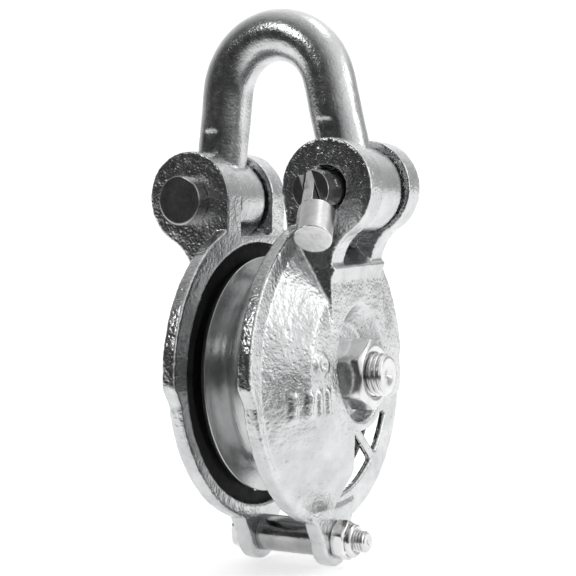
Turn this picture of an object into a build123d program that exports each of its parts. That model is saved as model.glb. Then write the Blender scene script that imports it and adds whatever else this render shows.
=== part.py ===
"""Galvanised snatch block: a rope sheave between two cast cheeks, hung from a forged shackle.

Frame: origin at the middle of the sheave, Y along the axle with the nut at -Y,
Z up towards the shackle. Millimetres.
"""
import os
from math import cos, radians, sin, tan

from build123d import *

os.makedirs("parts", exist_ok=True)

# ---- driving dimensions -----------------------------------------------------------------

# sheave
sheave_radius = 57.0
sheave_half_width = 15.4
groove_radius = 10.5
groove_centre_radius = 51.5
groove_wall_angle = 75.0
sheave_web_half_width = 10.4
hub_half_width = 13.4
hub_radius = 22.0
bush_outer_radius = 18.0
sleeve_outer_radius = 14.0
running_clearance = 0.05

# cheek casting, measured outwards from the middle plane of the block
inner_face = 16.2
rim_outer_face = 23.0
rim_radius = 74.7
lower_rim_radius = 70.9
recess_radius = 63.6
recess_depth_face = 19.6
shield_root_radius = 67.0
window_radius = 57.5
shield_shoulder_radius = 45.5
shield_shoulder_face = 35.6
column_face = 37.4
column_half_width = 26.0
casting_wall = 6.0
core_inner_radius = 31.5
hollow_radius = 55.5
hub_cap_radius = 26.5
nut_seat_face = 28.4
mark_height = 1.2
mark_bar_height = 11.0
axle_radius = 10.0
axle_hole_radius = 10.1

# ears and the two pins that carry the shackle
pin_offset = 37.2
pin_height = 86.4
ear_radius = 22.6
ear_inner = 13.8
ear_outer = 26.0
ear_neck_radius = 22.0
pin_radius = 9.0
ear_hole_radius = 10.1
pin_head_radius = 11.7
pin_head_length = 8.2
gap_floor_top = 68.3
gap_floor_bottom = 50.8

# drop-nose latch: the release pin is turned a little about its own length
pin_drop = 0.8
release_pin_turn = 16.5
latch_pivot_x = -31.0
latch_hang = 42.0
latch_radius = 8.2
latch_length = 30.0
latch_shoulder = 13.8
fork_end_x = -40.0
tongue_back = 9.2
tongue_thickness = 5.6
fork_slot = 6.2
fork_slot_depth = 20.0
latch_pin_radius = 2.0

# shackle
bar_radius = 12.2
crown_radius = 28.5
crown_height = 133.2
crown_half_angle = 80.0
eye_radius = 20.2
eye_half_thickness = 11.2
eye_flat_top = 119.0

# axle bolt and nut, M20
m20_across_flats = 30.0
m20_nut_height = 16.0
m20_head_height = 12.5
axle_thread_end = 51.0

# bottom bolt, M10, with its spacer tube
lower_bolt_x = -8.0
lower_bolt_z = -77.0
lug_radius = 12.6
lug_outer_face = 24.2
spacer_radius = 8.6
spacer_bore_radius = 5.6
m10_radius = 5.0
m10_across_flats = 17.0
m10_head_height = 6.4
m10_nut_height = 7.0
m10_collar_height = 3.2
lower_thread_end = 40.0
insert_depth = 2.4
insert_radius = 6.4
insert_recess = 0.4

# plain washers and the split pin on the hinge pin
thrust_washer_thickness = 2.2
hinge_washer_thickness = 2.6
split_pin_radius = 1.6
split_pin_length = 25.0
split_wire_radius = 1.2
split_loop_radius = 3.2
hinge_pin_end = 10.5


def outer_plane(face):
    """Sketch plane across the axle, out on the nut side; local x is X and local y is Z."""
    return Plane.XZ.offset(face)


def write(part, label):
    part.label = label
    export_step(part, f"parts/{label}.step")


# ---- sheave and its bearing ---------------------------------------------------------------

groove_floor_radius = groove_centre_radius - groove_radius
wall_start_y = groove_radius * sin(radians(groove_wall_angle))
wall_start_r = groove_centre_radius - groove_radius * cos(radians(groove_wall_angle))
groove_mouth_y = wall_start_y + (sheave_radius - wall_start_r) / tan(radians(groove_wall_angle))
web_recess_radius = groove_floor_radius - 5.0

with BuildPart() as sheave:
    with BuildSketch(Plane.XY) as sheave_section:
        with BuildLine():
            Polyline(
                (bush_outer_radius, 0),
                (bush_outer_radius, hub_half_width),
                (hub_radius, hub_half_width),
                (hub_radius + 1.5, sheave_web_half_width),
                (web_recess_radius, sheave_web_half_width),
                (web_recess_radius + 7.0, sheave_half_width),
                (sheave_radius - 1.2, sheave_half_width),
                (sheave_radius, groove_mouth_y),
                (wall_start_r, wall_start_y),
            )
            RadiusArc((wall_start_r, wall_start_y), (groove_floor_radius, 0), -groove_radius)
            Line((groove_floor_radius, 0), (bush_outer_radius, 0))
        make_face()
        mirror(about=Plane.XZ)
    revolve(axis=Axis.Y)
write(sheave.part, "sheave")

with BuildPart() as sheave_bush:
    with BuildSketch(outer_plane(-hub_half_width)):
        Circle(bush_outer_radius)
        Circle(sleeve_outer_radius + running_clearance, mode=Mode.SUBTRACT)
    extrude(amount=2 * hub_half_width)
write(sheave_bush.part, "sheave_bush")

with BuildPart() as axle_sleeve:
    with BuildSketch(outer_plane(-inner_face)):
        Circle(sleeve_outer_radius)
        Circle(axle_hole_radius, mode=Mode.SUBTRACT)
    extrude(amount=2 * inner_face)
write(axle_sleeve.part, "axle_sleeve")

washer_inner = hub_half_width + (inner_face - hub_half_width - thrust_washer_thickness) / 2
for label, start in (
    ("thrust_washer_nut_side", washer_inner),
    ("thrust_washer_head_side", -washer_inner - thrust_washer_thickness),
):
    with BuildPart() as thrust_washer:
        with BuildSketch(outer_plane(start)):
            Circle(hub_radius)
            Circle(sleeve_outer_radius + 0.3, mode=Mode.SUBTRACT)
        extrude(amount=thrust_washer_thickness)
    write(thrust_washer.part, label)


# ---- cheek casting --------------------------------------------------------------------------

def shield_profile(lift):
    """Outer outline of the domed shield, from its root at the rim to the axle, raised by lift."""
    root = (shield_root_radius, rim_outer_face - 0.5 + lift)
    shoulder = (shield_shoulder_radius, shield_shoulder_face + lift)
    crown = (hub_cap_radius - 2.5, column_face + lift)
    return root, shoulder, crown


def revolved_cap(lift, inner_face_at):
    """Solid cap under the shield outline, down to a flat face."""
    root, shoulder, crown = shield_profile(lift)
    with BuildPart() as cap:
        with BuildSketch(Plane.XY):
            with BuildLine():
                Line((0, -inner_face_at), (root[0], -inner_face_at))
                Line((root[0], -inner_face_at), (root[0], -root[1]))
                ThreePointArc(
                    (root[0], -root[1]),
                    ((root[0] + shoulder[0]) / 2 + 0.4, -(root[1] + shoulder[1]) / 2 + 0.7),
                    (shoulder[0], -shoulder[1]),
                )
                ThreePointArc(
                    (shoulder[0], -shoulder[1]),
                    ((shoulder[0] + crown[0]) / 2, -(shoulder[1] + crown[1]) / 2 - 0.5),
                    (crown[0], -crown[1]),
                )
                Line((crown[0], -crown[1]), (0, -crown[1]))
                Line((0, -crown[1]), (0, -inner_face_at))
            make_face()
        revolve(axis=Axis.Y)
    return cap.part


def shield_area(face):
    """Area of the shields seen along the axle: all of the near side, the far side above the axle."""
    with BuildSketch(outer_plane(face)) as area:
        with BuildLine():
            Polyline(
                (-80, -80),
                (-10, -80),
                (-10, -26),
                (10, -14),
                (80, -14),
                (80, 60),
                (-80, 60),
                (-80, -80),
            )
        make_face()
    return area.sketch


def marks_area(face):
    """Plain raised marks: a row of bars and a small ring near the middle of each shield."""
    with BuildSketch(outer_plane(face)) as area:
        for x in (-53.0, -46.5, -40.0, -33.5, 57.0, 61.5, 66.0):
            with Locations((x, -8.0)):
                Rectangle(2.4, mark_bar_height)
        with Locations((-37.0, 9.0), (52.0, 10.0)):
            Circle(4.6)
            Circle(2.4, mode=Mode.SUBTRACT)
    return area.sketch


# domed shields, cut to the area they cover
shield_solid = revolved_cap(0.0, inner_face)
marks_solid = revolved_cap(mark_height, rim_outer_face)

with BuildPart() as shield:
    add(shield_solid)
    extrude(shield_area(inner_face - 2), amount=40, mode=Mode.INTERSECT)

with BuildPart() as marks:
    add(marks_solid)
    extrude(marks_area(inner_face - 2), amount=40, mode=Mode.INTERSECT)

# hollow behind the shields and the column, so that the casting keeps an even wall
with BuildPart() as core:
    with BuildSketch(Plane.XY):
        with BuildLine():
            Polyline(
                (core_inner_radius, 0),
                (recess_radius, 0),
                (recess_radius, -recess_depth_face),
                (hollow_radius, -recess_depth_face),
                (shield_shoulder_radius - 3.0, casting_wall - shield_shoulder_face),
                (core_inner_radius, casting_wall - column_face),
                (core_inner_radius, 0),
            )
        make_face()
    revolve(axis=Axis.Y)
    with BuildSketch(outer_plane(inner_face - 2)):
        add(shield_area(inner_face - 2))
        offset(amount=1.4 - casting_wall, kind=Kind.INTERSECTION, mode=Mode.REPLACE)
    extrude(amount=40, mode=Mode.INTERSECT)

# the ears, as a plate outline seen along the pins: head, neck and the root in the column
neck_angle = radians(60.0)
neck_start = (
    -pin_offset - ear_radius * cos(neck_angle),
    pin_height - ear_radius * sin(neck_angle),
)
neck_end = (
    -column_face,
    neck_start[1] - ear_neck_radius * sin(neck_angle),
)
ear_root_height = 30.0

with BuildPart() as cheek_nut_side:
    # rim, higher on the upper half than on the lower half
    with BuildSketch(outer_plane(inner_face)) as rim_outline:
        Circle(lower_rim_radius)
        with BuildSketch(outer_plane(inner_face), mode=Mode.PRIVATE) as upper_rim:
            Circle(rim_radius)
            with BuildLine():
                Polyline(
                    (-rim_radius - 15, 20),
                    (-rim_radius - 1, 5),
                    (-rim_radius + 5, -7),
                    (rim_radius - 5, -7),
                    (rim_radius + 1, 5),
                    (rim_radius + 15, 20),
                    (rim_radius + 15, -90),
                    (-rim_radius - 15, -90),
                    (-rim_radius - 15, 20),
                )
            make_face(mode=Mode.SUBTRACT)
        add(upper_rim.sketch)
        Circle(window_radius, mode=Mode.SUBTRACT)
    extrude(amount=rim_outer_face - inner_face)
    # shields with their marks
    add(shield.part)
    add(marks.part)
    # column from the ears down to the hub
    with BuildSketch(Plane.YZ.offset(-column_half_width)):
        with BuildLine():
            Polyline(
                (-inner_face, 0),
                (-inner_face, gap_floor_top),
                (-column_face - 2.6, gap_floor_bottom),
                (-column_face, gap_floor_bottom - 6.0),
                (-column_face, 0),
                (-inner_face, 0),
            )
        make_face()
    extrude(amount=2 * column_half_width)
    # hub cap
    with BuildSketch(outer_plane(inner_face)):
        Circle(hub_cap_radius)
    extrude(amount=column_face - inner_face)
    # the two ears
    for start in (-ear_outer, ear_inner):
        with BuildSketch(Plane.YZ.offset(start)):
            with BuildLine():
                Line((-inner_face, ear_root_height), (-inner_face, gap_floor_top))
                Line((-inner_face, gap_floor_top), (-pin_offset + ear_radius, pin_height))
                ThreePointArc(
                    (-pin_offset + ear_radius, pin_height),
                    (-pin_offset, pin_height + ear_radius),
                    (-pin_offset - ear_radius, pin_height),
                )
                ThreePointArc(
                    (-pin_offset - ear_radius, pin_height),
                    (
                        -pin_offset - ear_radius * cos(neck_angle / 2),
                        pin_height - ear_radius * sin(neck_angle / 2),
                    ),
                    neck_start,
                )
                RadiusArc(neck_start, neck_end, ear_neck_radius)
                Line(neck_end, (-column_face, ear_root_height))
                Line((-column_face, ear_root_height), (-inner_face, ear_root_height))
            make_face()
        extrude(amount=ear_outer - ear_inner)
    # bottom lug
    with BuildSketch(outer_plane(inner_face)):
        with Locations((lower_bolt_x, lower_bolt_z)):
            Circle(lug_radius)
        with BuildLine():
            Polyline(
                (lower_bolt_x - lug_radius, lower_bolt_z),
                (lower_bolt_x - lug_radius - 7, lower_bolt_z + 15),
                (lower_bolt_x + lug_radius + 7, lower_bolt_z + 15),
                (lower_bolt_x + lug_radius, lower_bolt_z),
                (lower_bolt_x - lug_radius, lower_bolt_z),
            )
        make_face()
    extrude(amount=lug_outer_face - inner_face)
    # hollow behind the shields, and the shallow recess that the sheave turns in
    add(core.part, mode=Mode.SUBTRACT)
    with BuildSketch(outer_plane(inner_face)):
        Circle(recess_radius)
        Circle(hub_cap_radius - 3.0, mode=Mode.SUBTRACT)
    extrude(amount=recess_depth_face - inner_face, mode=Mode.SUBTRACT)
    # flat far panel between the shield and the window, and the spoke across the window
    with BuildSketch(outer_plane(recess_depth_face)):
        with BuildLine():
            Polyline((20, -10), (60, -10), (57, -26), (12, -26), (20, -10))
        make_face()
        with Locations((25.0, -35.5)):
            Rectangle(42.0, 5.0, rotation=-46.0)
    extrude(amount=rim_outer_face - recess_depth_face)
    # the shackle's space between the ears
    with BuildSketch(Plane.YZ.offset(-ear_inner)):
        with BuildLine():
            Polyline(
                (-inner_face + 1, gap_floor_top + 0.7),
                (-column_face - 2.6, gap_floor_bottom),
                (-column_face - 30, gap_floor_bottom),
                (-column_face - 30, pin_height + 30),
                (-inner_face + 1, pin_height + 30),
                (-inner_face + 1, gap_floor_top + 0.7),
            )
        make_face()
    extrude(amount=2 * ear_inner, mode=Mode.SUBTRACT)
    # pocket that the axle nut sits in: wide at its mouth, narrower at the seat
    with BuildSketch(outer_plane(nut_seat_face)):
        with Locations((0, 2.0)):
            Ellipse(18.6, 22.0)
    with BuildSketch(outer_plane(column_face + 1.0)):
        with Locations((0, 5.5)):
            Ellipse(23.2, 28.2)
    loft(mode=Mode.SUBTRACT)
    # bores for the axle, the pins and the bottom bolt
    with Locations(outer_plane(0)):
        Hole(axle_hole_radius)
    with Locations(outer_plane(0).shift_origin((lower_bolt_x, 0, lower_bolt_z))):
        Hole(m10_radius + 0.5)
    with Locations(Plane.YZ.offset(-60).shift_origin((-60, -pin_offset, pin_height))):
        Hole(ear_hole_radius, depth=120)

write(cheek_nut_side.part, "cheek_nut_side")

# the other cheek is the opposite hand of the same casting
cheek_head_side = mirror(cheek_nut_side.part, about=Plane.XZ)
write(cheek_head_side, "cheek_head_side")


# ---- shackle --------------------------------------------------------------------------------

# the pins lie low in their holes, and the eyes sit round them
pin_axis_height = pin_height - pin_drop
leg_start = (
    crown_radius * sin(radians(crown_half_angle)),
    crown_height + crown_radius * cos(radians(crown_half_angle)),
)
leg_run = (leg_start[1] - pin_axis_height) / tan(radians(crown_half_angle))
leg_end = (leg_start[0] + leg_run, pin_axis_height)

with BuildPart() as shackle:
    # round bar: crown arc and two straight legs
    with BuildLine(Plane.YZ) as bow:
        Line((-leg_end[0], leg_end[1]), (-leg_start[0], leg_start[1]))
        ThreePointArc((-leg_start[0], leg_start[1]), (0, crown_height + crown_radius), leg_start)
        Line(leg_start, leg_end)
    with BuildSketch(Plane(origin=bow.line @ 0, z_dir=bow.line % 0)):
        Circle(bar_radius)
    sweep(path=bow.line)
    # the legs are flattened towards the eyes
    for side in (-1, 1):
        with BuildSketch(Plane.YZ.offset(side * eye_half_thickness)):
            with Locations((0, eye_flat_top - 40)):
                Rectangle(140, 80)
        extrude(amount=side * 10, mode=Mode.SUBTRACT)
    # eyes with a rounded edge, and their holes
    with BuildSketch(Plane.YZ.offset(-eye_half_thickness)):
        with Locations((-pin_offset, pin_axis_height), (pin_offset, pin_axis_height)):
            Circle(eye_radius)
    extrude(amount=2 * eye_half_thickness)
    with Locations(
        Plane.YZ.offset(-30).shift_origin((-30, -pin_offset, pin_axis_height)),
        Plane.YZ.offset(-30).shift_origin((-30, pin_offset, pin_axis_height)),
    ):
        Hole(ear_hole_radius, depth=60)
write(shackle.part, "shackle")


# ---- hinge pin, its washer and its split pin --------------------------------------------------

hinge_plane = Plane.YZ.offset(-ear_outer).shift_origin(
    (-ear_outer, pin_offset, pin_axis_height)
)
split_pin_x = ear_outer + hinge_washer_thickness + 3.0
split_plane = Plane.XY.shift_origin((split_pin_x, pin_offset, 0))

with BuildPart() as hinge_pin:
    with BuildSketch(hinge_plane):
        Circle(pin_head_radius)
    extrude(amount=-pin_head_length)
    chamfer(hinge_pin.edges().group_by(Axis.X)[0], 0.6)
    with BuildSketch(hinge_plane):
        Circle(pin_radius)
    extrude(amount=2 * ear_outer + hinge_pin_end)
    chamfer(hinge_pin.edges().group_by(Axis.X)[-1], 1.2)
    with Locations(split_plane.offset(pin_axis_height)):
        Hole(split_pin_radius + 0.1)
write(hinge_pin.part, "hinge_pin")

with BuildPart() as hinge_pin_washer:
    with BuildSketch(hinge_plane.offset(2 * ear_outer + 0.1)):
        Circle(pin_head_radius + 2.8)
        Circle(pin_radius + 0.2, mode=Mode.SUBTRACT)
    extrude(amount=hinge_washer_thickness)
write(hinge_pin_washer.part, "hinge_pin_washer")

with BuildPart() as hinge_split_pin:
    # straight legs through the pin, a loop above it and two bent ends below it
    with BuildSketch(split_plane.offset(pin_height - split_pin_length / 2)):
        Circle(split_pin_radius)
    extrude(amount=split_pin_length)
    loop_centre = (split_pin_x, pin_offset, pin_height + split_pin_length / 2 + 2.6)
    with BuildSketch(Plane(origin=loop_centre, x_dir=(0, 1, 0), z_dir=(0, 0, 1))):
        with Locations((split_loop_radius, 0)):
            Circle(split_wire_radius)
    revolve(axis=Axis(loop_centre, (1, 0, 0)))
    for side in (-1, 1):
        bent_end = Plane(
            origin=(split_pin_x, pin_offset, pin_height - split_pin_length / 2 + 1.0),
            z_dir=(0, side * 0.8, -0.6),
        )
        with BuildSketch(bent_end):
            Circle(split_wire_radius)
        extrude(amount=7.0)
write(hinge_split_pin.part, "hinge_split_pin")


# ---- release pin and its drop-nose latch --------------------------------------------------------

turn = radians(release_pin_turn)
hang = radians(latch_hang)
# local x runs along the pin, local y up across the fork, local z along the cross pin
fork_plane = Plane(
    origin=(latch_pivot_x, -pin_offset, pin_axis_height),
    x_dir=(1, 0, 0),
    z_dir=(0, -cos(turn), sin(turn)),
)
# local x runs down the latch from its pivot
latch_plane = Plane(
    origin=(latch_pivot_x, -pin_offset, pin_axis_height),
    x_dir=(-sin(hang), -cos(hang) * sin(turn), -cos(hang) * cos(turn)),
    z_dir=(0, -cos(turn), sin(turn)),
)
release_plane = Plane.YZ.offset(fork_end_x).shift_origin((fork_end_x, -pin_offset, pin_axis_height))

with BuildPart() as release_pin:
    with BuildSketch(release_plane):
        Circle(pin_radius)
    extrude(amount=ear_outer + 0.1 - fork_end_x)
    with BuildSketch(release_plane.offset(ear_outer + 0.1 - fork_end_x)):
        Circle(pin_head_radius)
    extrude(amount=pin_head_length)
    chamfer(release_pin.edges().group_by(Axis.X)[-1], 0.6)
    # fork slot for the latch, and the cross hole
    with BuildSketch(fork_plane.offset(-fork_slot / 2)):
        with Locations((fork_end_x - latch_pivot_x + fork_slot_depth / 2, 0)):
            Rectangle(fork_slot_depth, 2 * pin_radius + 2)
    extrude(amount=fork_slot, mode=Mode.SUBTRACT)
    with Locations(fork_plane):
        Hole(latch_pin_radius)
write(release_pin.part, "release_pin")

with BuildPart() as latch_cross_pin:
    with BuildSketch(fork_plane.offset(-pin_radius - 0.5)):
        Circle(latch_pin_radius)
    extrude(amount=2 * pin_radius + 1.0)
    fillet(latch_cross_pin.edges().filter_by(GeomType.CIRCLE), 0.8)
write(latch_cross_pin.part, "latch_cross_pin")

with BuildPart() as latch_nose:
    # flat tongue in the fork
    with BuildSketch(latch_plane.offset(-tongue_thickness / 2)) as tongue:
        with Locations(((latch_shoulder + 1 - tongue_back) / 2, 0)):
            Rectangle(latch_shoulder + 1 + tongue_back, 2 * latch_radius - 0.6)
        fillet(tongue.vertices().group_by(Axis.X)[0], 4.5)
    extrude(amount=tongue_thickness)
    # round weight below the tongue
    weight_plane = Plane(
        origin=latch_plane.from_local_coords((latch_shoulder, 0, 0)),
        z_dir=latch_plane.x_dir,
    )
    with BuildSketch(weight_plane):
        Circle(latch_radius)
    extrude(amount=latch_length - latch_shoulder)
    with Locations(latch_plane):
        Hole(latch_pin_radius + running_clearance)
write(latch_nose.part, "latch_nose")


# ---- axle bolt and nut, M20 -----------------------------------------------------------------------

with BuildPart() as axle_bolt:
    with BuildSketch(outer_plane(-nut_seat_face - m20_head_height)):
        RegularPolygon(m20_across_flats / 2, 6, major_radius=False, rotation=30)
    extrude(amount=m20_head_height)
    with BuildSketch(outer_plane(-nut_seat_face)):
        Circle(axle_radius)
    extrude(amount=nut_seat_face + axle_thread_end)
    chamfer(axle_bolt.edges().group_by(Axis.Y)[0], 1.4)
write(axle_bolt.part, "axle_bolt")

with BuildPart() as axle_nut:
    with BuildSketch(outer_plane(nut_seat_face)):
        RegularPolygon(m20_across_flats / 2, 6, major_radius=False, rotation=30)
        Circle(axle_radius, mode=Mode.SUBTRACT)
    extrude(amount=m20_nut_height)
write(axle_nut.part, "axle_nut")


# ---- bottom bolt, lock nut and spacer tube -----------------------------------------------------------

def lower_plane(face):
    """Sketch plane across the bottom bolt, centred on it."""
    return outer_plane(face).shift_origin((lower_bolt_x, -face, lower_bolt_z))


with BuildPart() as lower_bolt:
    with BuildSketch(lower_plane(-lug_outer_face - m10_head_height)):
        RegularPolygon(m10_across_flats / 2, 6, major_radius=False, rotation=30)
    extrude(amount=m10_head_height)
    with BuildSketch(lower_plane(-lug_outer_face)):
        Circle(m10_radius)
    extrude(amount=lug_outer_face + lower_thread_end)
    chamfer(lower_bolt.edges().group_by(Axis.Y)[0], 0.9)
write(lower_bolt.part, "lower_bolt")

with BuildPart() as lower_spacer:
    with BuildSketch(lower_plane(-inner_face)):
        Circle(spacer_radius)
        Circle(spacer_bore_radius, mode=Mode.SUBTRACT)
    extrude(amount=2 * inner_face)
write(lower_spacer.part, "lower_spacer")

with BuildPart() as lower_lock_nut:
    with BuildSketch(lower_plane(lug_outer_face)):
        RegularPolygon(m10_across_flats / 2, 6, major_radius=False, rotation=30)
    extrude(amount=m10_nut_height)
    with BuildSketch(lower_plane(lug_outer_face + m10_nut_height)):
        Circle(m10_across_flats / 2 - 0.5)
    extrude(amount=m10_collar_height)
    fillet(lower_lock_nut.edges().group_by(Axis.Y)[0], 1.2)
    with Locations(lower_plane(lug_outer_face)):
        Hole(m10_radius)
    with BuildSketch(lower_plane(lug_outer_face + m10_nut_height + m10_collar_height)):
        Circle(insert_radius)
    extrude(amount=-insert_depth - insert_recess, mode=Mode.SUBTRACT)
write(lower_lock_nut.part, "lower_lock_nut")

with BuildPart() as lock_nut_insert:
    with BuildSketch(lower_plane(lug_outer_face + m10_nut_height + m10_collar_height - insert_recess)):
        Circle(insert_radius)
        Circle(m10_radius, mode=Mode.SUBTRACT)
    extrude(amount=-insert_depth)
write(lock_nut_insert.part, "lock_nut_insert")
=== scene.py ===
"""Looks for the galvanised snatch block: soft cast and forged skins over the CAD solids,
real threads and chamfered nuts, procedural zinc, and a pale studio.

Metres in the CAD frame. Piece dimensions are given in millimetres and scaled by MM.
"""
from math import cos, pi, radians, sin, sqrt, tan

import bmesh
import bpy
import numpy as np
from mathutils import Matrix, Vector


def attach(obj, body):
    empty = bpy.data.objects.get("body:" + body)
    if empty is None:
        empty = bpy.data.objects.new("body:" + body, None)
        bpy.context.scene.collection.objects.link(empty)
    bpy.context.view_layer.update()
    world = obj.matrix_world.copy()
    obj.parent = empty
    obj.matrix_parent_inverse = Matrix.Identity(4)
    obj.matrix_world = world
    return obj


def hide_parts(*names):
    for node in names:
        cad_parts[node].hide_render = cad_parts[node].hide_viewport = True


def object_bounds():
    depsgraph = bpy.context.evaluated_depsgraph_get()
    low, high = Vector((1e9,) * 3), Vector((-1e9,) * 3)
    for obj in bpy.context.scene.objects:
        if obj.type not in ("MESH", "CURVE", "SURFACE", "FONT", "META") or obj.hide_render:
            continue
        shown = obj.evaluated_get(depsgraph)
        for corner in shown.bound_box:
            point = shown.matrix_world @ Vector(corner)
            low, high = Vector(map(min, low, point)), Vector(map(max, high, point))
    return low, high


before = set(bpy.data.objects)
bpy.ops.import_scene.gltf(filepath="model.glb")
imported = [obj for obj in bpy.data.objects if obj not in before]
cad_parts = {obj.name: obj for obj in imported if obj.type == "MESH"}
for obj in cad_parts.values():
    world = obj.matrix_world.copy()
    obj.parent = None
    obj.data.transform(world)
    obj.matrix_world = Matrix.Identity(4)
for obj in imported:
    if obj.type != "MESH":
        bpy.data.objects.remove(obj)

CAD_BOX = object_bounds()
MM = 0.001
scene = bpy.context.scene

# the two bolts' axes, as (x, z)
AXLE, LOWER = (0.0, 0.0), (-8.0, -77.0)


# ---- small tools -----------------------------------------------------------------------------

def link(obj):
    scene.collection.objects.link(obj)
    return obj


def mesh_object(name, verts, faces):
    mesh = bpy.data.meshes.new(name)
    mesh.from_pydata([tuple(v) for v in verts], [], faces)
    mesh.validate()
    shade_smooth(mesh)
    return link(bpy.data.objects.new(name, mesh))


def shade_smooth(mesh):
    mesh.polygons.foreach_set("use_smooth", [True] * len(mesh.polygons))


def vertex_array(mesh, field):
    """One row per vertex of its "co" or "normal"."""
    values = np.zeros(len(mesh.vertices) * 3)
    mesh.vertices.foreach_get(field, values)
    return values.reshape(-1, 3)


NOISE_VALUES = 4096
NOISE_OFFSET = 1000.0
HASH = (73856093, 19349663, 83492791)


def lattice_noise(points, cell, seed):
    """Smooth noise from -1 to 1 at points, with features of about one cell."""
    table = np.random.default_rng(seed).uniform(-1.0, 1.0, NOISE_VALUES)
    p = points / cell + NOISE_OFFSET
    base = np.floor(p).astype(np.int64)
    f = p - base
    f = f * f * (3.0 - 2.0 * f)
    out = np.zeros(len(points))
    for corner in range(8):
        step = np.array([corner & 1, (corner >> 1) & 1, (corner >> 2) & 1])
        k = base + step
        index = (k[:, 0] * HASH[0] ^ k[:, 1] * HASH[1] ^ k[:, 2] * HASH[2]) % NOISE_VALUES
        weight = np.prod(np.where(step == 1, f, 1.0 - f), axis=1)
        out += table[index] * weight
    return out


# the drawn object that stands in place of each CAD node
drawn = {}


def place(obj, body, node):
    """Rides obj on a body in place of a CAD node."""
    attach(obj, body)
    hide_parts(node)
    drawn[node] = obj


def soft_copy(node, name, body, voxel, rounds, bumps=()):
    """Draws a CAD node as a remeshed, edge-softened copy of it.

    voxel is in millimetres, as are the cell and height of each (cell, height, seed) in bumps.
    rounds is the number of smoothing passes.
    """
    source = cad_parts[node]
    work = link(bpy.data.objects.new(name + "_work", source.data.copy()))
    remesh = work.modifiers.new("remesh", "REMESH")
    remesh.mode = "VOXEL"
    remesh.voxel_size = voxel * MM
    smooth = work.modifiers.new("smooth", "SMOOTH")
    smooth.factor = 0.5
    smooth.iterations = rounds
    graph = bpy.context.evaluated_depsgraph_get()
    mesh = bpy.data.meshes.new_from_object(work.evaluated_get(graph))
    mesh.materials.clear()
    bpy.data.objects.remove(work)
    mesh.name = name
    co, no = vertex_array(mesh, "co"), vertex_array(mesh, "normal")
    for cell, height, seed in bumps:
        co = co + no * (lattice_noise(co, cell * MM, seed) * height * MM)[:, None]
    mesh.vertices.foreach_set("co", co.ravel())
    shade_smooth(mesh)
    mesh.update()
    place(link(bpy.data.objects.new(name, mesh)), body, node)


def ring_loft(rings, close_start, close_end):
    """Vertices and faces of a skin through rings of equal point count."""
    count = len(rings[0])
    verts = [p for ring in rings for p in ring]
    faces = []
    for i in range(len(rings) - 1):
        for j in range(count):
            k = (j + 1) % count
            faces.append((i * count + j, i * count + k, (i + 1) * count + k, (i + 1) * count + j))
    if close_start:
        faces.append(tuple(range(count))[::-1])
    if close_end:
        faces.append(tuple(range((len(rings) - 1) * count, len(rings) * count)))
    return verts, faces


def closed_loft(rings):
    """Vertices and faces of a ring-shaped skin, whose last ring joins its first."""
    verts, faces = ring_loft(rings, False, False)
    count = len(rings[0])
    last = (len(rings) - 1) * count
    for j in range(count):
        k = (j + 1) % count
        faces.append((last + j, last + k, k, j))
    return verts, faces


def around_y(radius_at, stations, centre, segments=192):
    """Rings about an axle-parallel line: stations are (y, level) and radius_at(angle, level)."""
    cx, cz = centre
    rings = []
    for y, level in stations:
        ring = []
        for j in range(segments):
            a = 2 * pi * j / segments
            r = radius_at(a, level)
            ring.append(((cx + r * cos(a)) * MM, y * MM, (cz + r * sin(a)) * MM))
        rings.append(ring)
    return rings


def rounded_hexagon(angle, flat, turn):
    """Radius of a hexagon with slightly rounded corners, half its across-flats size being flat."""
    power = 22
    total = 0.0
    for i in range(6):
        c = cos(angle - turn - i * pi / 3)
        if c > 0:
            total += (c / flat) ** power
    return total ** (-1 / power)


def nut_outside(y_from, y_to, flat, turn, centre, chamfer_start, chamfer_end, segments=192):
    """Rings of a hexagon prism with cone chamfers at one or both ends."""
    height = abs(y_to - y_from)
    sign = 1 if y_to > y_from else -1
    corner = flat / cos(pi / 6)
    face_circle = flat * 0.93
    slope = tan(radians(62))
    run = (corner - face_circle) / slope
    steps = [0.0, 0.04, 0.12, 0.25, 0.4, 0.6, 0.8, 1.0]
    heights = [t * run for t in steps] if chamfer_start else [0.0, 0.25]
    tail = [height - t * run for t in reversed(steps)] if chamfer_end else [height - 0.25, height]
    heights = heights + [height * 0.5] + tail

    def radius(angle, h):
        r = rounded_hexagon(angle, flat, turn)
        limit = 1e9
        if chamfer_start:
            limit = min(limit, face_circle + h * slope)
        if chamfer_end:
            limit = min(limit, face_circle + (height - h) * slope)
        sharp = 26
        return (r ** -sharp + limit ** -sharp) ** (-1 / sharp)

    return around_y(radius, [(y_from + sign * h, h) for h in heights], centre, segments)


def round_rings(profile, centre, segments=192):
    """Rings of a turned shape from (y, radius) pairs."""
    return around_y(lambda a, r: r, profile, centre, segments)


def nut(name, y_seat, y_top, flat, turn, centre, bore, collar=None):
    """A hexagon nut with a chamfered mouth, and a rounded collar of (height, radius) if given."""
    sign = 1 if y_top > y_seat else -1
    rings = nut_outside(y_seat, y_top, flat, turn, centre, collar is not None, True)
    if collar is not None:
        height, radius = collar
        straight, round_over = 0.45, 1.5
        profile = [(y_top, radius), (y_top + sign * height * straight, radius)]
        for k in range(1, 7):
            a = k / 6 * pi / 2
            rise = straight + (1 - straight) * sin(a)
            profile.append((y_top + sign * height * rise, radius - round_over * (1 - cos(a))))
        top = y_top + sign * height
        inner_top = top - sign * 0.7
        profile += [(top, bore + 1.0), (inner_top, bore + 0.5)]
    else:
        inner_top = y_top - sign * 0.9
        profile = [(y_top, bore + 0.9), (inner_top, bore + 0.15)]
    rings += round_rings(profile, centre)
    rings += round_rings([(inner_top - sign * 0.6, bore), (y_seat, bore), (y_seat, bore + 0.6)], centre)
    return mesh_object(name, *closed_loft(rings))


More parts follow.
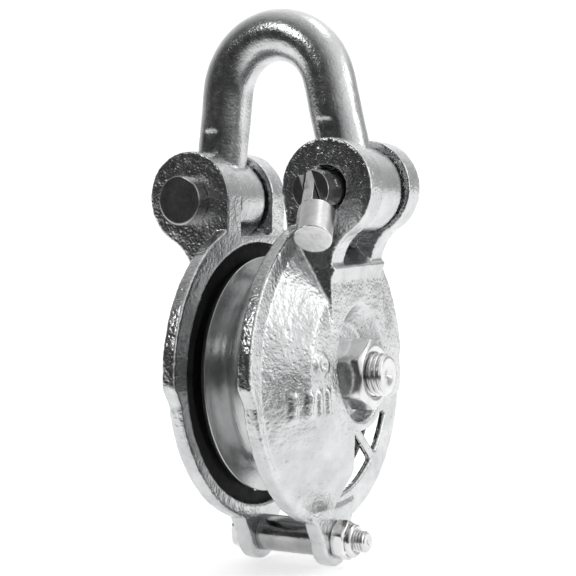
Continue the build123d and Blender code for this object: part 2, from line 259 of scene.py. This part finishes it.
# a thread's depth as a part of its pitch, its flat crest and its flank as parts of half a pitch,
# and its lead-in's depth as a multiple of the thread's
THREAD_DEPTH = 0.58
CREST, FLANK = 0.12, 0.72
LEAD_IN_DEPTH, LEAD_IN_SLOPE = 1.15, 1.1
RINGS_PER_PITCH = 16


def thread_rings(y_from, y_to, major, pitch, centre, segments=96):
    """Rings of a screw thread with a lead-in at its far end, ready to be capped."""
    sign = 1 if y_to > y_from else -1
    length = abs(y_to - y_from)
    depth = THREAD_DEPTH * pitch
    count = int(length / pitch * RINGS_PER_PITCH) + 1
    cx, cz = centre
    rings = []
    for i in range(count + 1):
        s = length * i / count
        ring = []
        for j in range(segments):
            a = 2 * pi * j / segments
            phase = (s / pitch + sign * a / (2 * pi)) % 1.0
            tooth = abs(2 * phase - 1)
            tooth = min(1.0, max(0.0, (tooth - CREST) / FLANK))
            tooth = tooth * tooth * (3 - 2 * tooth)
            r = major - depth * tooth
            r = min(r, major - depth * LEAD_IN_DEPTH + (length - s) * LEAD_IN_SLOPE)
            ring.append(((cx + r * cos(a)) * MM, (y_from + sign * s) * MM, (cz + r * sin(a)) * MM))
        rings.append(ring)
    return rings


def bolt(name, head_at, head_height, flat, turn, centre, major, pitch, thread_from, end, dimple):
    """A hexagon bolt from its head at +Y to its threaded end at -Y."""
    segments = 96
    rings = nut_outside(head_at, head_at + head_height, flat, turn, centre, False, True, segments)
    rings.reverse()
    rings += round_rings([(head_at, major), (thread_from + 0.2, major)], centre, segments)
    rings += thread_rings(thread_from, end, major, pitch, centre, segments)
    root = major - THREAD_DEPTH * pitch * LEAD_IN_DEPTH
    face = end + 0.02
    rings += round_rings([(face, root * 0.85), (face, dimple), (end + dimple * 0.8, 0.15)],
                         centre, segments)
    verts, faces = ring_loft(rings, True, True)
    return mesh_object(name, verts, faces)


# ---- cast and forged pieces ------------------------------------------------------------------

SKIN = ((9.0, 0.16, 11), (3.6, 0.08, 12), (1.7, 0.10, 13))
FORGED = ((11.0, 0.18, 21), (4.2, 0.05, 22), (2.0, 0.025, 23))

soft_copy("cheek_nut_side", "cheek_nut_side_cast", "block", 0.7, 7, SKIN)
soft_copy("cheek_head_side", "cheek_head_side_cast", "block", 0.7, 7, SKIN)
soft_copy("shackle", "shackle_forged", "block", 0.7, 9, FORGED)

# ---- turned pieces, pins and latch -----------------------------------------------------------

soft_copy("hinge_pin", "hinge_pin_skin", "block", 0.4, 5, ((4.0, 0.03, 31),))
soft_copy("hinge_pin_washer", "hinge_pin_washer_skin", "block", 0.3, 2)
soft_copy("hinge_split_pin", "hinge_split_pin_skin", "block", 0.2, 3)
soft_copy("release_pin", "release_pin_skin", "release_pin_body", 0.35, 3,
          ((3.0, 0.03, 33),))
soft_copy("latch_cross_pin", "latch_cross_pin_skin", "release_pin_body", 0.15, 2)
soft_copy("latch_nose", "latch_nose_skin", "latch", 0.3, 4, ((4.0, 0.04, 34),))
soft_copy("lower_spacer", "lower_spacer_skin", "block", 0.35, 2, ((5.0, 0.05, 35),))

# ---- sheave: turned groove with rounded flange edges -----------------------------------------

GROOVE_RADIUS = 10.5
GROOVE_CENTRE = 51.5
SHEAVE_RADIUS = 57.0
GROOVE_WALL = radians(75)
GROOVE_STEPS = 26


def groove_point(angle):
    """(y, radius) on the groove's round bottom, by angle from its floor."""
    return GROOVE_RADIUS * sin(angle), GROOVE_CENTRE - GROOVE_RADIUS * cos(angle)


def sheave_mesh():
    # outer face from the flange's rounded edge in to the bush
    half = [(14.6, 56.3), (15.15, 56.0), (15.4, 55.4), (15.4, 43.6), (15.2, 43.0), (10.7, 36.5),
            (10.4, 36.0), (10.4, 24.0), (10.7, 23.4), (13.2, 22.1), (13.4, 21.8), (13.4, 18.0)]
    start_y, start_r = groove_point(GROOVE_WALL)
    mouth_y = start_y + (SHEAVE_RADIUS - start_r) / tan(GROOVE_WALL)
    edge_r = SHEAVE_RADIUS - 0.7
    groove = [(mouth_y + 0.35, SHEAVE_RADIUS - 0.1), (mouth_y, SHEAVE_RADIUS - 0.25)]
    for i in range(4):
        t = i / 4
        groove.append((mouth_y + (start_y - mouth_y) * t - 0.05, edge_r + (start_r - edge_r) * t))
    for i in range(GROOVE_STEPS + 1):
        groove.append(groove_point(GROOVE_WALL * (1 - i / GROOVE_STEPS)))
    upper = list(reversed(half)) + groove
    lower = [(-y, r) for y, r in reversed(upper[:-1])]
    profile = upper + lower
    return mesh_object("sheave_turned", *closed_loft(round_rings(profile, AXLE, 256)))


place(sheave_mesh(), "sheave_wheel", "sheave")

# ---- threaded pieces -------------------------------------------------------------------------

# an M20 with 30 mm flats through the hubs, and an M10 with 17 mm flats through the spacer
HUB_FACE, LUG_FACE = 28.4, 24.2
AXLE_FLAT, LOWER_FLAT = 15.0, 8.5

place(nut("axle_nut_hex", y_seat=-HUB_FACE, y_top=-44.4, flat=AXLE_FLAT, turn=0.0, centre=AXLE,
          bore=10.02),
      "block", "axle_nut")
place(bolt("axle_bolt_threaded", head_at=HUB_FACE, head_height=12.5, flat=AXLE_FLAT, turn=0.0,
           centre=AXLE, major=10.0, pitch=2.5, thread_from=-43.0, end=-51.0, dimple=2.2),
      "block", "axle_bolt")
place(nut("lower_lock_nut_hex", y_seat=-LUG_FACE, y_top=-31.2, flat=LOWER_FLAT, turn=0.0,
          centre=LOWER, bore=5.02, collar=(3.2, 7.9)),
      "block", "lower_lock_nut")
place(bolt("lower_bolt_threaded", head_at=LUG_FACE, head_height=6.4, flat=LOWER_FLAT, turn=0.0,
           centre=LOWER, major=5.0, pitch=1.5, thread_from=-30.0, end=-40.0, dimple=0.8),
      "block", "lower_bolt")
for node in ("axle_nut", "axle_bolt", "lower_lock_nut", "lower_bolt", "sheave"):
    piece = drawn[node]
    built = bmesh.new()
    built.from_mesh(piece.data)
    bmesh.ops.recalc_face_normals(built, faces=built.faces)
    built.to_mesh(piece.data)
    built.free()


# ---- materials -------------------------------------------------------------------------------

def new_material(name):
    material = bpy.data.materials.new(name)
    material.use_nodes = True
    tree = material.node_tree
    tree.nodes.clear()
    output = tree.nodes.new("ShaderNodeOutputMaterial")
    shader = tree.nodes.new("ShaderNodeBsdfPrincipled")
    tree.links.new(shader.outputs[0], output.inputs[0])
    return material, tree, shader


def texture(tree, kind, scale, detail=2.0, roughness=0.5, stretch=(1, 1, 1)):
    where = tree.nodes.new("ShaderNodeTexCoord")
    mapping = tree.nodes.new("ShaderNodeMapping")
    mapping.inputs["Scale"].default_value = stretch
    tree.links.new(where.outputs["Object"], mapping.inputs["Vector"])
    node = tree.nodes.new("ShaderNodeTexNoise" if kind == "noise" else "ShaderNodeTexVoronoi")
    node.inputs["Scale"].default_value = scale
    if kind == "noise":
        node.inputs["Detail"].default_value = detail
        node.inputs["Roughness"].default_value = roughness
    else:
        node.inputs["Randomness"].default_value = 1.0
    tree.links.new(mapping.outputs["Vector"], node.inputs["Vector"])
    return node


def ramp(tree, source, stops):
    node = tree.nodes.new("ShaderNodeValToRGB")
    elements = node.color_ramp.elements
    while len(elements) < len(stops):
        elements.new(0.5)
    for element, (position, value) in zip(elements, stops):
        element.position = position
        rgb = (value,) * 3 if isinstance(value, float) else value
        element.color = (*rgb, 1.0)
    tree.links.new(source, node.inputs["Fac"])
    return node.outputs["Color"]


def bump(tree, height, strength, distance, after=None):
    node = tree.nodes.new("ShaderNodeBump")
    node.inputs["Strength"].default_value = strength
    node.inputs["Distance"].default_value = distance
    tree.links.new(height, node.inputs["Height"])
    if after is not None:
        tree.links.new(after, node.inputs["Normal"])
    return node.outputs["Normal"]


# sizes of the zinc's mottling and of its uneven gloss, in features per metre
MOTTLE, GLOSS = 90.0, 260.0


def zinc(name, dark, light, metallic, rough, grain, grain_height, pits=0.0, stretch=(1, 1, 1)):
    """Zinc skin: mottled colour, uneven gloss, and a grain of the given size in features per metre."""
    material, tree, shader = new_material(name)
    shader.inputs["Metallic"].default_value = metallic
    patches = texture(tree, "noise", MOTTLE, 3.0, 0.6)
    tree.links.new(ramp(tree, patches.outputs["Fac"], [(0.32, dark), (0.68, light)]),
                   shader.inputs["Base Color"])
    gloss = texture(tree, "noise", GLOSS, 3.0, 0.6, stretch)
    tree.links.new(ramp(tree, gloss.outputs["Fac"], [(0.3, rough[0]), (0.7, rough[1])]),
                   shader.inputs["Roughness"])
    fine = texture(tree, "noise", grain, 3.0, 0.55, stretch)
    normal = bump(tree, fine.outputs["Fac"], 1.0, grain_height)
    if pits:
        cells = texture(tree, "voronoi", grain * 0.55)
        hollows = ramp(tree, cells.outputs["Distance"], [(0.0, 0.0), (0.45, 1.0)])
        normal = bump(tree, hollows, 1.0, pits, normal)
    tree.links.new(normal, shader.inputs["Normal"])
    return material


GREY_DARK, GREY_LIGHT = (0.52, 0.525, 0.53), (0.66, 0.665, 0.67)
m_cheek = zinc("cast_zinc", GREY_DARK, GREY_LIGHT, 1.0, (0.16, 0.28), 800.0, 0.00022, 0.00012)
m_shackle = zinc("forged_zinc", GREY_DARK, GREY_LIGHT, 1.0, (0.18, 0.30), 900.0, 0.00012, 0.00005)
m_sheave = zinc("sheave_zinc", (0.52, 0.53, 0.53), (0.60, 0.61, 0.61), 0.95, (0.20, 0.27), 300.0,
                0.00007, stretch=(1, 6, 1))
m_fastener = zinc("fastener_zinc", (0.62, 0.62, 0.62), (0.78, 0.78, 0.78), 1.0, (0.14, 0.24),
                  240.0, 0.00006)
m_pin = zinc("pin_zinc", (0.30, 0.30, 0.305), (0.42, 0.42, 0.425), 0.95, (0.18, 0.26),
             700.0, 0.00002)
m_latch = zinc("latch_zinc", (0.62, 0.62, 0.62), (0.80, 0.80, 0.80), 1.0, (0.16, 0.28),
               380.0, 0.00005)
m_spacer = zinc("spacer_zinc", (0.34, 0.34, 0.345), (0.50, 0.50, 0.505), 1.0, (0.14, 0.28),
                300.0, 0.0001)
m_bronze = zinc("bearing_bronze", (0.42, 0.29, 0.15), (0.62, 0.45, 0.24), 1.0, (0.3, 0.45),
                400.0, 0.0001)
m_steel = zinc("ground_steel", (0.5, 0.5, 0.5), (0.64, 0.64, 0.64), 1.0, (0.2, 0.3),
               500.0, 0.00005)
m_nylon = zinc("insert_nylon", (0.74, 0.74, 0.71), (0.85, 0.85, 0.83), 0.0, (0.45, 0.6),
               700.0, 0.00005)


def wear(obj, material):
    obj.data.materials.clear()
    obj.data.materials.append(material)


NODE_MATERIALS = {
    "cheek_nut_side": m_cheek, "cheek_head_side": m_cheek, "shackle": m_shackle, "sheave": m_sheave,
    "sheave_bush": m_bronze, "axle_sleeve": m_steel, "axle_bolt": m_fastener, "axle_nut": m_fastener,
    "thrust_washer_nut_side": m_bronze, "thrust_washer_head_side": m_bronze, "hinge_pin": m_pin,
    "hinge_pin_washer": m_fastener, "hinge_split_pin": m_fastener, "release_pin": m_pin,
    "latch_nose": m_latch, "latch_cross_pin": m_pin, "lower_bolt": m_fastener,
    "lower_spacer": m_spacer, "lower_lock_nut": m_fastener, "lock_nut_insert": m_nylon,
}
for node, material in NODE_MATERIALS.items():
    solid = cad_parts[node]
    if not solid.material_slots:
        solid.data.materials.append(material)
    for cad_slot in solid.material_slots:
        cad_slot.material = material
    if node in drawn:
        wear(drawn[node], material)

# near-black painted shade for the hollow behind each shield, where the sheave keeps the light out
m_painted_recess_shade = zinc("recess_painted_shade", (0.012, 0.012, 0.012), (0.03, 0.03, 0.03), 0.3, (0.6, 0.8),
                900.0, 0.0002)

# the hollow behind each shield, in metres: deep near the hub, sloping to a shallow step at the rim
HOLLOW_INNER, HOLLOW_OUTER = 0.0238, 0.0634
HOLLOW_FACE = 0.0172
HOLLOW_DEEP, HOLLOW_SHALLOW = 0.0322, 0.0204
HOLLOW_SLOPE_FROM, HOLLOW_SLOPE = 0.0425, 0.908


def in_hollow(polygon):
    """Whether a face of a cheek lies inside its hollow and looks at the sheave."""
    x, y, z = polygon.center
    radius = sqrt(x * x + z * z)
    slope = HOLLOW_DEEP - (radius - HOLLOW_SLOPE_FROM) * HOLLOW_SLOPE
    ceiling = min(HOLLOW_DEEP, max(HOLLOW_SHALLOW, slope))
    within = HOLLOW_INNER < radius < HOLLOW_OUTER and HOLLOW_FACE < abs(y) < ceiling
    return within and polygon.normal.y * y < 0


# faces inside each cheek's hollow, facing the sheave, get the near-black painted shade
for cheek in (drawn["cheek_nut_side"], drawn["cheek_head_side"]):
    cheek.data.materials.append(m_painted_recess_shade)
    for polygon in cheek.data.polygons:
        if in_hollow(polygon):
            polygon.material_index = 1


# ---- studio ----------------------------------------------------------------------------------

def dot_with(tree, coordinate, axis):
    """How far a texture coordinate lies along an axis."""
    where = tree.nodes.new("ShaderNodeTexCoord")
    along = tree.nodes.new("ShaderNodeVectorMath")
    along.operation = "DOT_PRODUCT"
    along.inputs[1].default_value = axis
    tree.links.new(where.outputs[coordinate], along.inputs[0])
    return along.outputs["Value"]


def map_range(tree, value, low, high, interpolation="LINEAR"):
    """A value mapped from low..high to 0..1."""
    node = tree.nodes.new("ShaderNodeMapRange")
    node.interpolation_type = interpolation
    node.inputs["From Min"].default_value = low
    node.inputs["From Max"].default_value = high
    tree.links.new(value, node.inputs["Value"])
    return node.outputs["Result"]


FLOOR_HALF = 6.0
FLOOR_Z = CAD_BOX[0].z - 0.0005
floor = mesh_object("studio_floor",
                    [(x * FLOOR_HALF, y * FLOOR_HALF, FLOOR_Z)
                     for x, y in ((-1, -1), (1, -1), (1, 1), (-1, 1))],
                    [(0, 1, 2, 3)])
m_floor, tree, shader = new_material("pale_floor")
shader.inputs["Roughness"].default_value = 0.8
shader.inputs["Specular IOR Level"].default_value = 0.1
shader.inputs["Emission Strength"].default_value = 0.52
# painted light: the floor glows pale under and behind the object, with painted shade towards the dim
# side
painted_floor_light = map_range(tree, dot_with(tree, "Object", (0.8594, 0.5112, 0.0)), -0.42, -0.04, "SMOOTHSTEP")
tree.links.new(ramp(tree, painted_floor_light, [(0.0, 0.05), (1.0, 0.92)]), shader.inputs["Base Color"])
tree.links.new(ramp(tree, painted_floor_light, [(0.0, 0.01), (1.0, 1.0)]), shader.inputs["Emission Color"])
wear(floor, m_floor)

# the room: bright behind the object and to its right, dim on the camera's side
world = bpy.data.worlds.new("studio")
scene.world = world
world.use_nodes = True
tree = world.node_tree
tree.nodes.clear()
output = tree.nodes.new("ShaderNodeOutputWorld")
background = tree.nodes.new("ShaderNodeBackground")
tree.links.new(background.outputs[0], output.inputs[0])
shade = map_range(tree, dot_with(tree, "Generated", (0.906, -0.423, 0.0)), -1.0, 1.0)
tree.links.new(ramp(tree, shade,
                    [(0.0, 0.03), (0.10, 0.05), (0.22, 0.17), (0.34, 0.42), (0.50, 0.64), (0.61, 0.92),
                     (0.66, 1.0), (0.88, 1.0), (0.98, 0.44)]),
               background.inputs["Color"])
background.inputs["Strength"].default_value = 1.12


LAMP_TARGET = Vector((0, 0, 0.04))


def softbox(name, direction, distance, width, height, power):
    """A rectangular lamp seen in a direction from the object, and facing it."""
    data = bpy.data.lights.new(name, "AREA")
    data.shape = "RECTANGLE"
    data.size, data.size_y = width, height
    data.energy = power
    lamp = link(bpy.data.objects.new(name, data))
    towards = Vector(direction).normalized()
    lamp.location = LAMP_TARGET + towards * distance
    lamp.rotation_mode = "QUATERNION"
    lamp.rotation_quaternion = (-towards).to_track_quat("-Z", "Y")


softbox("key_right", (0.42, -0.90, 0.30), 1.3, 0.4, 0.8, 1.6)
softbox("top", (0.35, -0.25, 1.0), 1.2, 0.4, 0.3, 0.8)
softbox("glint", (-0.75, 0.30, 0.62), 1.2, 0.30, 0.30, 1.6)

# ---- camera ----------------------------------------------------------------------------------

camera_data = bpy.data.cameras.new("camera")
camera = link(bpy.data.objects.new("camera", camera_data))
camera_data.sensor_width = 36.0
camera_data.lens = 70.02
camera_data.clip_start, camera_data.clip_end = 0.01, 50.0
CAMERA_AT = (-0.46310, -0.27514, 0.06690)
right = Vector((0.50818227, -0.8594948, -0.05494975)).normalized()
ahead = Vector((0.8584751, 0.51063026, -0.04772053)).normalized()
up = right.cross(ahead).normalized()
camera.matrix_world = Matrix((
    (right.x, up.x, -ahead.x, CAMERA_AT[0]),
    (right.y, up.y, -ahead.y, CAMERA_AT[1]),
    (right.z, up.z, -ahead.z, CAMERA_AT[2]),
    (0, 0, 0, 1),
))
scene.camera = camera
scene.view_settings.view_transform = "Standard"

bpy.context.view_layer.update()
